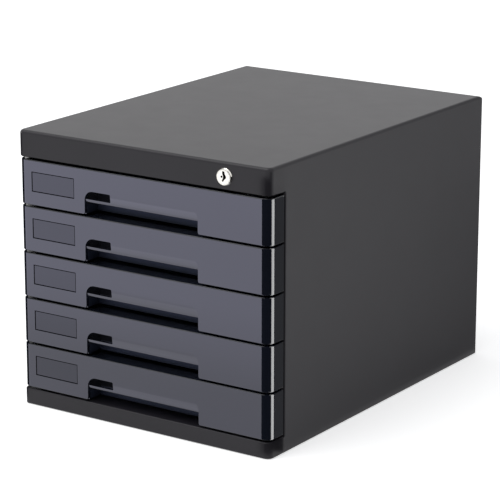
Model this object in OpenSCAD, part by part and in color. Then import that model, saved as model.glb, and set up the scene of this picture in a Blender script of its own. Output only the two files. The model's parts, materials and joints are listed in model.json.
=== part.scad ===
// Desktop file drawer: a plastic cabinet with five trays and one lock for all of them.
// Right is +X, back is +Y, up is +Z. The origin is under the middle of the cabinet, on the ground.
// Every piece is drawn with the front plane at y = 0 and the case's underside at z = 0,
// and in_frame() then moves it to the origin above.

/* [Cabinet] */
// Width of the case
cab_w = 264; // [250:1:320]
// Depth of the case, from the front plane to the back
cab_d = 355; // [335:1:400]
// Height of the case, without its feet
cab_h = 250; // [240:1:300]
// Thickness of the outer walls
wall = 3; // [2.6:0.1:3.4]
// Height of the band over the drawers, which carries the lock
fascia_h = 23.8; // [23:0.2:32]
// Height of the plinth under the drawers
plinth_h = 14.2; // [12:0.2:20]
// Depth of the band's and the plinth's side returns
front_zone_d = 22; // [20:0.5:26]
// Radius of the band's and the plinth's upright front corners
corner_r = 5.5; // [4.5:0.5:9]
// Radius of the top's edge at the front and the sides
top_round = 3; // [1.5:0.1:3.2]
// Radius of the top's edge at the back
back_round = 6; // [3:0.5:8]
// Radius of the edges that face the drawers, on the band and the plinth
lip_round = 1.4; // [0.6:0.1:2]
// Radius of the side walls' front edge, behind the drawer fronts
side_edge_r = 2.4; // [0.8:0.1:2.5]
// Radius of the side walls' upright back edge
rear_edge_r = 1.5; // [0.5:0.1:2.5]
// Thickness of the back panel
back_t = 2.5; // [2:0.1:3.5]
// How far the back panel lies inside the case's back edge
back_inset = 1.6; // [1.5:0.1:3]
// Height of the top cover's lip over the back panel
back_lip_h = 9; // [8:0.5:14]

/* [Drawer fronts] */
// Gap between one front and the next
front_gap = 1.8; // [1.2:0.1:3]
// Gap between a front and the side wall's edge behind it
case_gap = 1.5; // [1:0.1:3]
// Thickness of a front's face
front_wall = 2.2; // [1.8:0.1:3]
// Thickness of a front's top, sides and finger pocket
front_skin = 2; // [1.6:0.1:2.4]
// Radius of a front's upright corners
front_corner_r = 7.5; // [5:0.5:10]
// Radius of a front's upper and lower edge
front_edge_r = 0.8; // [0.4:0.1:1.2]

/* [Pull] */
// Width of the pull
pull_w = 119; // [100:0.5:124]
// Middle of the pull, from the middle of the front
pull_x = 0; // [-5:0.1:5]
// Top of the pull, below the front's upper edge
pull_drop = 19.2; // [17:0.2:20.4]
// Height of the pull plate
pull_h = 9.4; // [8:0.2:11]
// How far the pull plate's lower edge leans inward
pull_lean = 1.2; // [0.6:0.1:4]
// Thickness of the pull plate
pull_t = 2.2; // [1.8:0.1:2.6]
// Radius of the pull's upper corners
pull_corner_r = 8.5; // [5:0.5:9]
// Radius of the front's lower corners beside the pull
pull_foot_r = 2.2; // [1:0.1:3]
// Width of the window at the pull's left end
window_w = 27.5; // [20:0.5:34]
// Height of the window
window_h = 7.4; // [5:0.1:7.6]
// Radius of the window's right corners
window_r = 1.2; // [0.4:0.1:2]

/* [Label recess] */
// Width of the label recess
label_w = 46.8; // [40:0.2:50]
// Height of the label recess
label_h = 18; // [14:0.5:19]
// Left edge of the recess, from the front's left side
label_left = 14.4; // [9:0.2:16]
// Top edge of the recess, below the front's upper edge
label_drop = 10.2; // [8:0.2:12]
// Depth of the recess
label_depth = 0.35; // [0.2:0.05:0.6]
// Width of the groove round the recess
label_groove_w = 0.8; // [0.6:0.1:1.2]
// Depth of the groove round the recess
label_groove_depth = 0.8; // [0.6:0.1:1]

/* [Trays and runners] */
// Length of a drawer that stays in the case when it is pulled out
hold_d = 105.9; // [90:0.1:160]
// Thickness of a tray's walls and floor
tray_wall = 2; // [1.6:0.1:2.6]
// Width of the channel beside the trays, which holds the bar, stops and bosses
channel_w = 7; // [6.8:0.1:9]
// How far a tray's rim lies below the upper edge of its front
rim_drop = 2.2; // [1:0.2:5]
// Space between a closed tray and the back panel
tray_back_gap = 5; // [4.5:0.5:9]
// Radius of a tray's back corners
tray_corner_r = 6; // [3:0.5:10]
// Thickness of the ledge under a tray
ledge_t = 2; // [1.6:0.1:3]
// How far a ledge reaches under its tray
ledge_reach = 6; // [3:0.5:10]
// Clearance between pieces that slide past each other
run_gap = 0.3; // [0.2:0.05:0.4]

/* [Lock] */
// Lock axis, from the case's right side
lock_inset = 45; // [38:1:60]
// Lock axis, below the top
lock_drop = 12.5; // [12:0.5:14]
// How far the lock stands out of the band
lock_proud = 2.2; // [1.6:0.1:3]
// Radius of the lock's flange
flange_r = 7.6; // [7:0.1:8.5]
// Radius of the lock's raised face
face_r = 6.9; // [6.2:0.1:7]
// Radius of the lock's barrel
barrel_r = 6; // [5.6:0.1:6.2]
// Radius of the turning plug
plug_r = 4.6; // [4.4:0.1:4.9]
// Clearance of the plug in its bore
plug_gap = 0.05; // [0.02:0.01:0.1]
// Distance from the lock axis to the cam's pin
cam_reach = 6; // [5.6:0.1:6.2]
// Radius of the cam's pin
cam_pin_r = 1.5; // [1.2:0.1:1.6]
// Thickness of the bar
bar_t = 2.4; // [2:0.1:2.6]
// Height of a hook on the bar
hook_h = 4; // [3:0.5:5]

/* [Screws and feet] */
// Radius of a screw's shank
screw_r = 1.2; // [1:0.1:1.4]
// Radius of a screw's head
screw_head_r = 2.7; // [2.4:0.1:2.8]
// Height of a screw's head
screw_head_h = 1.4; // [1.2:0.1:1.5]
// Radius of a foot
foot_r = 8; // [6:0.5:9]
// How far a foot stands out of the floor
foot_proud = 0.8; // [0.6:0.1:2]
// Depth of a foot's pocket in the floor
foot_pocket = 1.2; // [0.8:0.1:1.6]

/* [Hidden] */
DRAWERS = 5;
CASE_NODES = ["top_cover", "left_side_panel", "right_side_panel", "base_panel", "back_panel",
  "case_screws", "rubber_feet", "lock_housing", "lock_nut", "lock_plug", "lock_cam", "cam_screw",
  "lock_bar", "lock_bar_hooks", "lock_bar_guides"];
$fn = 64;

case_colour = "#3c3c3f";
front_colour = "#262832";
tray_colour = "#2b2c31";
metal_colour = "#c9c6bf";
rubber_colour = "#1a1a1a";

over = 1;            // how far a cutter runs past the face that it cuts
screw_clear = 0.05;  // clearance of a screw in the hole that it holds in
shank_clear = 0.3;   // clearance of a screw in the hole that it passes
boss_wall = 2;       // material round a screw's hole
bite = 0.5;          // how far a solid runs into the one that it grows from

// Case
half_w = cab_w / 2;
inner_half = half_w - wall;
opening_z1 = cab_h - fascia_h;
under_top = cab_h - wall;
lip_z0 = under_top - back_lip_h;
back_y1 = cab_d - back_inset;
back_y0 = back_y1 - back_t;
frame_shift = (cab_d - lock_proud) / 2;

// Drawers
front_h = (opening_z1 - plinth_h - (DRAWERS + 1) * front_gap) / DRAWERS;
pitch = front_h + front_gap;
front_d = front_zone_d - case_gap;
tray_half = inner_half - channel_w;
tray_z0 = ledge_t + run_gap;
tray_h = front_h - rim_drop - tray_z0;
tray_y1 = back_y0 - tray_back_gap;
travel = tray_y1 - hold_d;
front_screw_inset = 34;
front_screw_edge = 9;
front_screw_x = half_w - front_screw_inset;
front_screw_z = [front_h - front_screw_edge, front_screw_edge];
front_screw_len = 9;

// Pull and its finger pocket, measured up from the front's lower edge
pull_x0 = pull_x - pull_w / 2;
pull_x1 = pull_x + pull_w / 2;
pull_z1 = front_h - pull_drop;
pull_arc_r = (pull_h * pull_h + pull_lean * pull_lean) / (2 * pull_lean);
pull_angle = asin(pull_h / pull_arc_r);
pocket_y1 = front_d - front_skin;

// Clip-on stops near the trays' backs, and the fixed stops that they meet at full travel
fin_inset = 26;
fin_y0 = tray_y1 - fin_inset;
fin_t = 4;
fin_z = 26;
fin_h = 8;
fin_reach = channel_w - 2.3;
peg_r = 1.6;                                    // peg that holds a stop or a catch in the tray's wall
stop_y1 = fin_y0 - travel - run_gap;
stop_t = 4;
stop_reach = channel_w - 2.5;
end_stop_t = 3;
end_stop_h = 8;

// Lock bar in its channel on the right side wall
guard_t = 1.7;                                  // rib that hides the bar from the front
rib_depth = bar_t + 2 * run_gap;                // the bar and its clearances fit within the ribs
bar_y0 = front_zone_d + guard_t + run_gap;
bar_w = 11;
bar_y1 = bar_y0 + bar_w;
rib_y0 = bar_y1 + run_gap;
rib_y1 = rib_y0 + guard_t;
rib_x0 = inner_half - rib_depth;
bar_x1 = inner_half - run_gap;
bar_x0 = bar_x1 - bar_t;
clip_t = 1.7;
clip_h = 6;
clip_z = 31;
hook_z = 14;
hook_w = 7;
hook_gap = 0.6;                                 // between a hook and the tray, and a hook and its catch
hook_x0 = tray_half + hook_gap;
rivet_r = 1.2;
catch_z = hook_z + hook_h + 3.5;
catch_h = 6;
catch_w = 6;
catch_y0 = bar_y1 + hook_gap;

// Lock
lock_x = half_w - lock_inset;
lock_z = cab_h - lock_drop;
flange_t = 1;
cam_t = 2;
cam_slot_gap = 0.4;
arm_t = 3;
cam_y0 = bar_y0 - cam_t - screw_head_h - cam_slot_gap;
barrel_y1 = cam_y0 - run_gap;
nut_t = 4;
nut_r = 8.2;
tail_w = 5;
cam_turn = 90;
pin_dx = cam_reach * cos(cam_turn / 2);
bar_lift = 2 * cam_reach * sin(cam_turn / 2);
pin_x = lock_x + pin_dx;
pin_z = lock_z - bar_lift / 2;
slot_x0 = pin_x - cam_pin_r - cam_slot_gap;
slot_x1 = lock_x + cam_reach + cam_pin_r + cam_slot_gap;
slot_half = cam_pin_r + cam_slot_gap;
slot_wall = 2.1;
arm_half = slot_half + slot_wall;
arm_x0 = slot_x0 - slot_wall;

// Screws that hold the case together
case_screw_x = inner_half - 6;
case_screw_front = 60;
case_screw_back = 31;
case_screw_y = [case_screw_front, cab_d / 2 + 10, cab_d - case_screw_back];
lug_w = 12;
lug_t = 3;
lug_z0 = under_top - 12;
floor_t = wall;
pad_h = floor_t + 2;
pad_r = 5.5;
counterbore = 2.6;
floor_boss_h = 9;
case_screw_len = 8;
back_boss_r = 3.4;
back_boss_x = inner_half - 3;
back_boss_len = 12;
back_screw_z = [cab_h * 0.16, cab_h * 0.5, cab_h * 0.84];
back_screw_len = 9;
foot_x = half_w - 22;
foot_inset = 24;
foot_y = [foot_inset, cab_d - foot_inset];
floor_ribs = 4;
floor_rib_h = 5;
floor_rib_t = 2;

function drawer_z(i) = plinth_h + front_gap + (i - 1) * pitch;

module in_frame() translate([0, -frame_shift, foot_proud]) children();

// What lies outside a quarter circle, in the first quadrant: it cuts a corner round
module outside_arc(r) {
  difference() {
    square(r + over);
    circle(r);
  }
}

// Outline seen from above: front edge on y = 0, round front and back corners
module plan_outline(w, d, r_front, r_back = 0) {
  difference() {
    translate([-w / 2, 0]) square([w, d]);
    for (s = [-1, 1]) {
      translate([s * (w / 2 - r_front), r_front]) scale([s, -1]) outside_arc(r_front);
      if (r_back > 0) translate([s * (w / 2 - r_back), d - r_back]) scale([s, 1]) outside_arc(r_back);
    }
  }
}

// Rounds the upper (up = 1) or lower (up = -1) edge at height z of a plan_outline block,
// along its front, its two front corners and its sides
module edge_cutter(w, d, r_corner, r_edge, z, up) {
  mid_z = z - up * r_edge;
  for (s = [-1, 1]) {
    translate([s * (w / 2 - r_edge), d + over, mid_z]) rotate([90, 0, 0])
      linear_extrude(d + over - r_corner) scale([s, up]) outside_arc(r_edge);
    translate([s * (w / 2 - r_corner), r_corner, mid_z]) rotate([0, 0, s > 0 ? -90 : 180])
      rotate_extrude(angle = 90) translate([r_corner - r_edge, 0]) scale([1, up]) outside_arc(r_edge);
  }
  translate([r_corner - w / 2, r_edge, mid_z]) rotate([90, 0, 90])
    linear_extrude(w - 2 * r_corner) scale([-1, up]) outside_arc(r_edge);
}

// Rounds the case's upper back edge
module back_edge_cutter() {
  translate([-half_w - over, cab_d - back_round, cab_h - back_round]) rotate([90, 0, 90])
    linear_extrude(cab_w + 2 * over) outside_arc(back_round);
}

// Cylinder along +Y from y0 to y1
module rod_y(x, z, r, y0, y1) translate([x, y0, z]) rotate([-90, 0, 0]) cylinder(r = r, h = y1 - y0);

// Cylinder along +X from x0 to x1
module rod_x(y, z, r, x0, x1) translate([x0, y, z]) rotate([0, 90, 0]) cylinder(r = r, h = x1 - x0);

// Screw with its head's underside on z = 0 and its shank upward
module screw(length) {
  translate([0, 0, -screw_head_h]) cylinder(r = screw_head_r, h = screw_head_h);
  cylinder(r = screw_r, h = length);
}

module top_cover() color(case_colour) in_frame() {
  difference() {
    union() {
      translate([0, 0, under_top]) linear_extrude(wall) plan_outline(cab_w, cab_d, corner_r, rear_edge_r);
      translate([0, 0, opening_z1]) linear_extrude(fascia_h - wall) difference() {
        plan_outline(cab_w, front_zone_d, corner_r);
        translate([0, wall]) plan_outline(cab_w - 2 * wall, front_zone_d, corner_r - wall);
      }
      translate([-inner_half, back_y0, lip_z0])
        cube([2 * inner_half, cab_d - back_y0, back_lip_h]);
      for (s = [-1, 1], y = case_screw_y) translate([s * case_screw_x, y, lug_z0 + lug_t])
        cylinder(r = screw_r + boss_wall, h = under_top - lug_z0 - lug_t);
    }
    edge_cutter(cab_w, cab_d, corner_r, top_round, cab_h, 1);
    edge_cutter(cab_w, front_zone_d, corner_r, lip_round, opening_z1, -1);
    back_edge_cutter();
    rod_y(lock_x, lock_z, barrel_r + 2 * plug_gap, -over, wall + over);
    for (s = [-1, 1], y = case_screw_y) translate([s * case_screw_x, y, lug_z0])
      cylinder(r = screw_r + screw_clear, h = case_screw_len + over);
  }
}

// Right side wall; the left one is its mirror image without the bar's channel
module side_panel(has_bar) {
  difference() {
    union() {
      translate([inner_half, front_zone_d, 0]) cube([wall, cab_d - front_zone_d, under_top]);
      translate([rib_x0, front_zone_d, floor_t]) cube([rib_depth, guard_t, under_top - floor_t]);
      if (has_bar) translate([rib_x0, rib_y0, floor_t]) cube([rib_depth, guard_t, under_top - floor_t]);
      for (i = [1:DRAWERS]) translate([0, 0, drawer_z(i)]) runner(has_bar);
      for (y = case_screw_y) {
        translate([case_screw_x - lug_w / 2, y - lug_w / 2, lug_z0])
          cube([inner_half - case_screw_x + lug_w / 2, lug_w, lug_t]);
        translate([case_screw_x, y, pad_h]) cylinder(r = screw_r + boss_wall, h = floor_boss_h);
        translate([case_screw_x, y - boss_wall / 2, pad_h])
          cube([inner_half - case_screw_x, boss_wall, floor_boss_h]);
      }
      for (z = back_screw_z) rod_y(back_boss_x, z, back_boss_r, back_y0 - back_boss_len, back_y0);
    }
    translate([half_w - side_edge_r, front_zone_d + side_edge_r, plinth_h])
      linear_extrude(opening_z1 - plinth_h) scale([1, -1]) outside_arc(side_edge_r);
    translate([half_w - rear_edge_r, cab_d - rear_edge_r, -over])
      linear_extrude(cab_h) outside_arc(rear_edge_r);
    back_edge_cutter();
    for (y = case_screw_y) {
      translate([case_screw_x, y, lug_z0 - over]) cylinder(r = screw_r + shank_clear, h = lug_t + 2 * over);
      translate([case_screw_x, y, pad_h - over])
        cylinder(r = screw_r + screw_clear, h = case_screw_len + over);
    }
    for (z = back_screw_z)
      rod_y(back_boss_x, z, screw_r + screw_clear, back_y0 - back_screw_len, back_y0 + over);
  }
}

// What carries and stops one drawer on the right side wall: ledge, end stop and travel stop
module runner(has_bar) {
  ledge_x0 = tray_half - ledge_reach;
  ledge_y0 = has_bar ? rib_y0 : front_zone_d;
  translate([ledge_x0, ledge_y0, 0]) cube([inner_half - ledge_x0, back_y0 - ledge_y0, ledge_t]);
  translate([ledge_x0, tray_y1 + run_gap, 0])
    cube([inner_half - ledge_x0, end_stop_t, ledge_t + end_stop_h]);
  translate([inner_half - stop_reach, stop_y1 - stop_t, fin_z]) cube([stop_reach, stop_t, fin_h]);
}

module left_side_panel() color(case_colour) in_frame() mirror([1, 0, 0]) side_panel(false);

module right_side_panel() color(case_colour) in_frame() side_panel(true);

module base_panel() color(case_colour) in_frame() {
  difference() {
    union() {
      linear_extrude(floor_t) plan_outline(cab_w, front_zone_d, corner_r);
      translate([-inner_half, front_zone_d - over, 0])
        cube([2 * inner_half, cab_d - front_zone_d + over, floor_t]);
      difference() {
        linear_extrude(plinth_h) plan_outline(cab_w, front_zone_d, corner_r);
        translate([0, wall, floor_t]) linear_extrude(plinth_h - floor_t - wall)
          plan_outline(cab_w - 2 * wall, front_zone_d, corner_r - wall);
      }
      for (s = [-1, 1], y = case_screw_y) translate([s * case_screw_x, y, 0])
        cylinder(r = pad_r, h = pad_h);
      for (k = [1:floor_ribs])
        translate([-case_screw_x + pad_r, k * cab_d / (floor_ribs + 1), floor_t - over])
          cube([2 * (case_screw_x - pad_r), floor_rib_t, floor_rib_h + over]);
    }
    edge_cutter(cab_w, front_zone_d, corner_r, lip_round, plinth_h, 1);
    for (s = [-1, 1], y = case_screw_y) translate([s * case_screw_x, y, -over]) {
      cylinder(r = screw_head_r + shank_clear, h = counterbore + over);
      cylinder(r = screw_r + shank_clear, h = pad_h + 2 * over);
    }
    for (s = [-1, 1], y = foot_y) translate([s * foot_x, y, -over])
      cylinder(r = foot_r + screw_clear, h = foot_pocket + over);
  }
}

module back_panel() color(case_colour) in_frame() {
  difference() {
    translate([-inner_half, back_y0, floor_t]) cube([2 * inner_half, back_t, lip_z0 - floor_t]);
    for (s = [-1, 1], z = back_screw_z)
      rod_y(s * back_boss_x, z, screw_r + shank_clear, back_y0 - over, back_y1 + over);
  }
}

module case_screws() color(metal_colour) in_frame() {
  for (s = [-1, 1]) {
    for (y = case_screw_y) {
      translate([s * case_screw_x, y, lug_z0]) screw(case_screw_len);
      translate([s * case_screw_x, y, counterbore]) screw(case_screw_len);
    }
    for (z = back_screw_z) translate([s * back_boss_x, back_y1, z]) rotate([90, 0, 0]) screw(back_screw_len);
  }
}

module rubber_feet() color(rubber_colour) in_frame() {
  for (s = [-1, 1], y = foot_y) translate([s * foot_x, y, -foot_proud])
    cylinder(r = foot_r, h = foot_proud + foot_pocket);
}

module lock_housing() color(metal_colour) in_frame() {
  difference() {
    union() {
      rod_y(lock_x, lock_z, face_r, -lock_proud, -flange_t + over / 2);
      rod_y(lock_x, lock_z, flange_r, -flange_t, 0);
      rod_y(lock_x, lock_z, barrel_r, -flange_t / 2, barrel_y1);
    }
    rod_y(lock_x, lock_z, plug_r + plug_gap, -lock_proud - over, barrel_y1 + over);
  }
}

module lock_nut() color(metal_colour) in_frame() {
  difference() {
    translate([lock_x, wall, lock_z]) rotate([-90, 0, 0]) cylinder(r = nut_r, h = nut_t, $fn = 6);
    rod_y(lock_x, lock_z, barrel_r + screw_clear, wall - over, wall + nut_t + over);
  }
}

// Core with an upright keyway, and a square tail that carries the cam
module lock_plug() color(metal_colour) in_frame() {
  keyway_w = 1.6;
  keyway_half = plug_r - 0.9;
  difference() {
    union() {
      rod_y(lock_x, lock_z, plug_r, -lock_proud, cam_y0);
      translate([lock_x - tail_w / 2, cam_y0 - over, lock_z - tail_w / 2])
        cube([tail_w, cam_t + over, tail_w]);
    }
    translate([lock_x - keyway_w / 2, -lock_proud - over, lock_z - keyway_half])
      cube([keyway_w, 12, 2 * keyway_half]);
    rod_y(lock_x + keyway_w / 2, lock_z + 0.6, keyway_w * 0.7, -lock_proud - over, 8);
    rod_y(lock_x, lock_z, screw_r + screw_clear, cam_y0 - 4, cam_y0 + cam_t + over);
  }
}

// Cam at rest: its pin points down to the right, and a quarter turn brings it up
module lock_cam() color(metal_colour) in_frame() {
  raise_y(cam_y0, cam_y0 + cam_t) translate([lock_x, lock_z]) difference() {
    union() {
      circle(tail_w);
      rotate(-cam_turn / 2) {
        translate([tail_w / 2, -cam_pin_r]) square([cam_reach - tail_w / 2, 2 * cam_pin_r]);
        translate([cam_reach, 0]) circle(cam_pin_r + 1);
      }
    }
    square(tail_w + 2 * screw_clear, center = true);
  }
  rod_y(pin_x, pin_z, cam_pin_r, cam_y0 + cam_t / 2, bar_y0 + arm_t);
}

module cam_screw() color(metal_colour) in_frame()
  translate([lock_x, cam_y0 + cam_t, lock_z]) rotate([90, 0, 0]) screw(4);

// Arm with the cam's slot behind the band, and an upright strip on the side wall
module lock_bar() color(metal_colour) in_frame() {
  bar_z0 = drawer_z(1) + hook_z - hook_h;
  arm_z0 = pin_z - arm_half;
  difference() {
    union() {
      translate([arm_x0, bar_y0, arm_z0]) cube([bar_x1 - arm_x0, arm_t, 2 * arm_half]);
      translate([bar_x0, bar_y0, bar_z0]) cube([bar_t, bar_w, arm_z0 + 2 * arm_half - bar_z0]);
    }
    translate([slot_x0, bar_y0 - over, pin_z - slot_half])
      cube([slot_x1 - slot_x0, arm_t + 2 * over, 2 * slot_half]);
    hook_rivets(bar_x0 - over, bar_x1 + over, rivet_r + screw_clear);
  }
}

module hook_rivets(x0, x1, r)
  for (i = [1:DRAWERS]) rod_x(bar_y1 - hook_w / 2, drawer_z(i) + hook_z + hook_h / 2, r, x0, x1);

// One hook for each drawer, riveted to the bar's inner face
module lock_bar_hooks() color(metal_colour) in_frame() {
  for (i = [1:DRAWERS]) translate([hook_x0, bar_y1 - hook_w, drawer_z(i) + hook_z])
    cube([bar_x0 - hook_x0, hook_w, hook_h]);
  hook_rivets(bar_x0 - bite, bar_x1, rivet_r);
}

// Clips that reach across the bar's channel and hook behind its rear rib
module lock_bar_guides() color(tray_colour) in_frame() {
  for (i = [1:2:DRAWERS]) translate([rib_x0 - clip_t, front_zone_d, drawer_z(i) + clip_z]) {
    cube([clip_t, rib_y1 - front_zone_d + clip_t, clip_h]);
    translate([0, rib_y1 - front_zone_d, 0]) cube([clip_t + rib_depth, clip_t, clip_h]);
  }
}

// Outline of the pull's opening in the front, seen from the front, with z up as the second axis
module pull_outline(grow, foot_r) {
  translate([pull_x0 - grow, 0]) difference() {
    translate([0, -over]) square([pull_w + 2 * grow, pull_z1 + grow + over]);
    for (s = [0, 1]) translate([s ? pull_w + 2 * grow - pull_corner_r - grow : pull_corner_r + grow,
      pull_z1 - pull_corner_r]) scale([s ? 1 : -1, 1]) outside_arc(pull_corner_r + grow);
  }
  if (foot_r > 0) for (s = [-1, 1])
    translate([s > 0 ? pull_x1 + foot_r : pull_x0 - foot_r, foot_r]) scale([-s, -1]) outside_arc(foot_r);
}

// Raises an outline in x and z into a block from y0 to y1
module raise_y(y0, y1) translate([0, y1, 0]) rotate([90, 0, 0]) linear_extrude(y1 - y0) children();

// Curved plate that the fingers pull, with a rounded lower lip and a window at its left end.
// It runs into the front all round, by the bite.
module pull_plate() {
  mid_r = pull_arc_r - pull_t / 2;
  difference() {
    intersection() {
      translate([pull_x0 - bite, pull_arc_r, pull_z1]) rotate([90, 0, 90])
        linear_extrude(pull_w + 2 * bite) {
        intersection() {
          difference() {
            circle(pull_arc_r, $fn = 200);
            circle(pull_arc_r - pull_t, $fn = 200);
          }
          polygon([[0, 0], [0, bite], [-2 * pull_arc_r, bite],
            [-2 * pull_arc_r, -2 * pull_arc_r * tan(pull_angle)]]);
        }
        translate([-mid_r * cos(pull_angle), -mid_r * sin(pull_angle)]) circle(pull_t / 2);
      }
      raise_y(-over, front_d) pull_outline(bite, 0);
    }
    translate([pull_x0, 0, pull_z1 - window_h]) raise_y(-over, pocket_y1) difference() {
      translate([-over, 0]) square([window_w + over, window_h + over]);
      translate([window_w - window_r, window_r]) scale([1, -1]) outside_arc(window_r);
      translate([window_w - window_r, window_h - window_r]) outside_arc(window_r);
    }
  }
}

// Front shell: face, top, bottom and sides, open behind, with a pocket for the fingers
module drawer_front(i) color(front_colour) in_frame() translate([0, 0, drawer_z(i)]) {
  difference() {
    union() {
      difference() {
        linear_extrude(front_h) plan_outline(cab_w, front_d, front_corner_r);
        translate([0, front_wall, front_skin]) linear_extrude(front_h - 2 * front_skin)
          plan_outline(cab_w - 2 * front_skin, front_d, front_corner_r - front_skin);
      }
      raise_y(front_wall / 2, front_d) intersection() {
        pull_outline(front_skin, 0);
        translate([-half_w, 0]) square([cab_w, front_h]);
      }
      for (s = [-1, 1], z = front_screw_z)
        rod_y(s * front_screw_x, z, screw_r + boss_wall, front_wall / 2, front_d);
    }
    edge_cutter(cab_w, front_d, front_corner_r, front_edge_r, front_h, 1);
    edge_cutter(cab_w, front_d, front_corner_r, front_edge_r, 0, -1);
    raise_y(-over, pocket_y1) pull_outline(0, 0);
    raise_y(-over, front_wall) pull_outline(0, pull_foot_r);
    for (s = [-1, 1], z = front_screw_z)
      rod_y(s * front_screw_x, z, screw_r + screw_clear, front_d - front_screw_len, front_d + over);
    label_recess();
  }
  pull_plate();
}

// Shallow field with a groove round it
module label_recess() {
  translate([label_left - half_w, 0, front_h - label_drop - label_h]) {
    raise_y(-over, label_depth) square([label_w, label_h]);
    raise_y(-over, label_groove_depth) difference() {
      square([label_w, label_h]);
      translate([label_groove_w, label_groove_w])
        square([label_w - 2 * label_groove_w, label_h - 2 * label_groove_w]);
    }
  }
}

// Open tray, with holes for its screws, stops and catch
module drawer_tray(i) color(tray_colour) in_frame() translate([0, 0, drawer_z(i)]) {
  tray_front_r = 2;
  difference() {
    translate([0, front_d, tray_z0]) linear_extrude(tray_h)
      plan_outline(2 * tray_half, tray_y1 - front_d, tray_front_r, tray_corner_r);
    translate([0, front_d + tray_wall, tray_z0 + tray_wall]) linear_extrude(tray_h)
      plan_outline(2 * (tray_half - tray_wall), tray_y1 - front_d - 2 * tray_wall,
        tray_front_r, tray_corner_r - tray_wall);
    for (s = [-1, 1], z = front_screw_z)
      rod_y(s * front_screw_x, z, screw_r + shank_clear, front_d - over, front_d + tray_wall + over);
    for (s = [-1, 1]) stop_peg(s, tray_wall + over, over, screw_clear);
    catch_peg(tray_wall + over, over, screw_clear);
  }
}

// Pegs across a tray's side wall, from a depth inside its outer face to a height outside it
module stop_peg(s, inside, outside, grow)
  rod_x(fin_y0 + fin_t / 2, fin_z + fin_h / 2, peg_r + grow,
    s > 0 ? tray_half - inside : -tray_half - outside, s > 0 ? tray_half + outside : inside - tray_half);

module catch_peg(inside, outside, grow)
  rod_x(catch_y0 + catch_w / 2, catch_z + catch_h / 2, peg_r + grow, tray_half - inside, tray_half + outside);

// Stops clipped on after the tray is in its place, one on each side
module drawer_stops(i) color(tray_colour) in_frame() translate([0, 0, drawer_z(i)])
  for (s = [-1, 1]) {
    translate([s > 0 ? tray_half : -tray_half - fin_reach, fin_y0, fin_z]) cube([fin_reach, fin_t, fin_h]);
    stop_peg(s, tray_wall, bite, 0);
  }

// Block on the tray's right side, which the lock's raised hook keeps from moving forward
module drawer_catch(i) color(tray_colour) in_frame() translate([0, 0, drawer_z(i)]) {
  translate([tray_half, catch_y0, catch_z]) cube([rib_x0 - run_gap - tray_half, catch_w, catch_h]);
  catch_peg(tray_wall, bite, 0);
}

module drawer_screws(i) color(metal_colour) in_frame() translate([0, front_d + tray_wall, drawer_z(i)])
  for (s = [-1, 1], z = front_screw_z)
    translate([s * front_screw_x, 0, z]) rotate([90, 0, 0]) screw(front_screw_len);

top_cover();
left_side_panel();
right_side_panel();
base_panel();
back_panel();
case_screws();
rubber_feet();
lock_housing();
lock_nut();
lock_plug();
lock_cam();
cam_screw();
lock_bar();
lock_bar_hooks();
lock_bar_guides();
for (i = [1:DRAWERS]) {
  drawer_tray(i);
  drawer_front(i);
  drawer_screws(i);
  drawer_stops(i);
  drawer_catch(i);
}
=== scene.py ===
"""Desktop file drawer: looks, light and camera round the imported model.

Metres, in the model's own frame: +X right, +Y back, +Z up, and the drawer fronts face -Y.
"""

import json
import math

import bmesh
import bpy
from mathutils import Matrix, Vector


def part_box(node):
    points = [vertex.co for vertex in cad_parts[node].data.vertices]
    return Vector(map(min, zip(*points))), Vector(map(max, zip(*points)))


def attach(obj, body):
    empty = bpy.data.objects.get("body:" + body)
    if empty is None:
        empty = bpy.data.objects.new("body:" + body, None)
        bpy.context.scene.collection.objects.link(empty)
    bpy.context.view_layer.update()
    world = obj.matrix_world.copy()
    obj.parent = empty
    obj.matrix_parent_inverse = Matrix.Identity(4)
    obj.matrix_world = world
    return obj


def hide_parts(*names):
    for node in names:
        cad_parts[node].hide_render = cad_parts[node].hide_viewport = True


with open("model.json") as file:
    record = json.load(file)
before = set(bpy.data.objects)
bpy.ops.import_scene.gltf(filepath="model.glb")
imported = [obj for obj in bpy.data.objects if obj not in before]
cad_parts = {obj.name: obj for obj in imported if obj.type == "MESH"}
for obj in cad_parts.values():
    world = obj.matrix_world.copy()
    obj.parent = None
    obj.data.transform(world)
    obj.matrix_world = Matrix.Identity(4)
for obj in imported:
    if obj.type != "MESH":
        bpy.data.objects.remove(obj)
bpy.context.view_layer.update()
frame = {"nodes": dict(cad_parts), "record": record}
nodes = frame["nodes"]


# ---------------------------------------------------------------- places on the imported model

DRAWERS = range(1, 6)
FRONT_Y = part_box("top_cover")[0].y      # the case's front plane
FLOOR_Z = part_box("base_panel")[0].z     # the case's underside, above its feet
TOP_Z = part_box("top_cover")[1].z
HALF_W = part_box("top_cover")[1].x
ROW_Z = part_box("drawer_1_front")[0].z   # the lowest front's lower edge
ROW_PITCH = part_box("drawer_2_front")[0].z - ROW_Z
CORNER_R = 0.0075                       # the fronts' and the fascia's round corners, seen from above
PULL_HALF_W = 0.0595                    # half of a pull's width

# Where a finish on the fronts starts and where it is full, as pairs.
POCKET_X = (PULL_HALF_W + 0.0020, PULL_HALF_W + 0.0012)
POCKET_Y = (FRONT_Y + 0.0026, FRONT_Y + 0.0042)      # behind the pull's plate
LOW_WALL_Z = (0.0090, 0.0070)           # the pocket's lower wall, over the front's lower edge
LABEL_LEFT_X = (-0.1186, -0.1176)       # the label field's left and right edges
LABEL_RIGHT_X = (-0.0698, -0.0708)
FIELD_Y = (FRONT_Y + 0.00010, FRONT_Y + 0.00030)     # the label field's sunk face
GROOVE_Y = (FRONT_Y + 0.00036, FRONT_Y + 0.00042)    # the groove round it, which is deeper


# ---------------------------------------------------------------- camera

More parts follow.
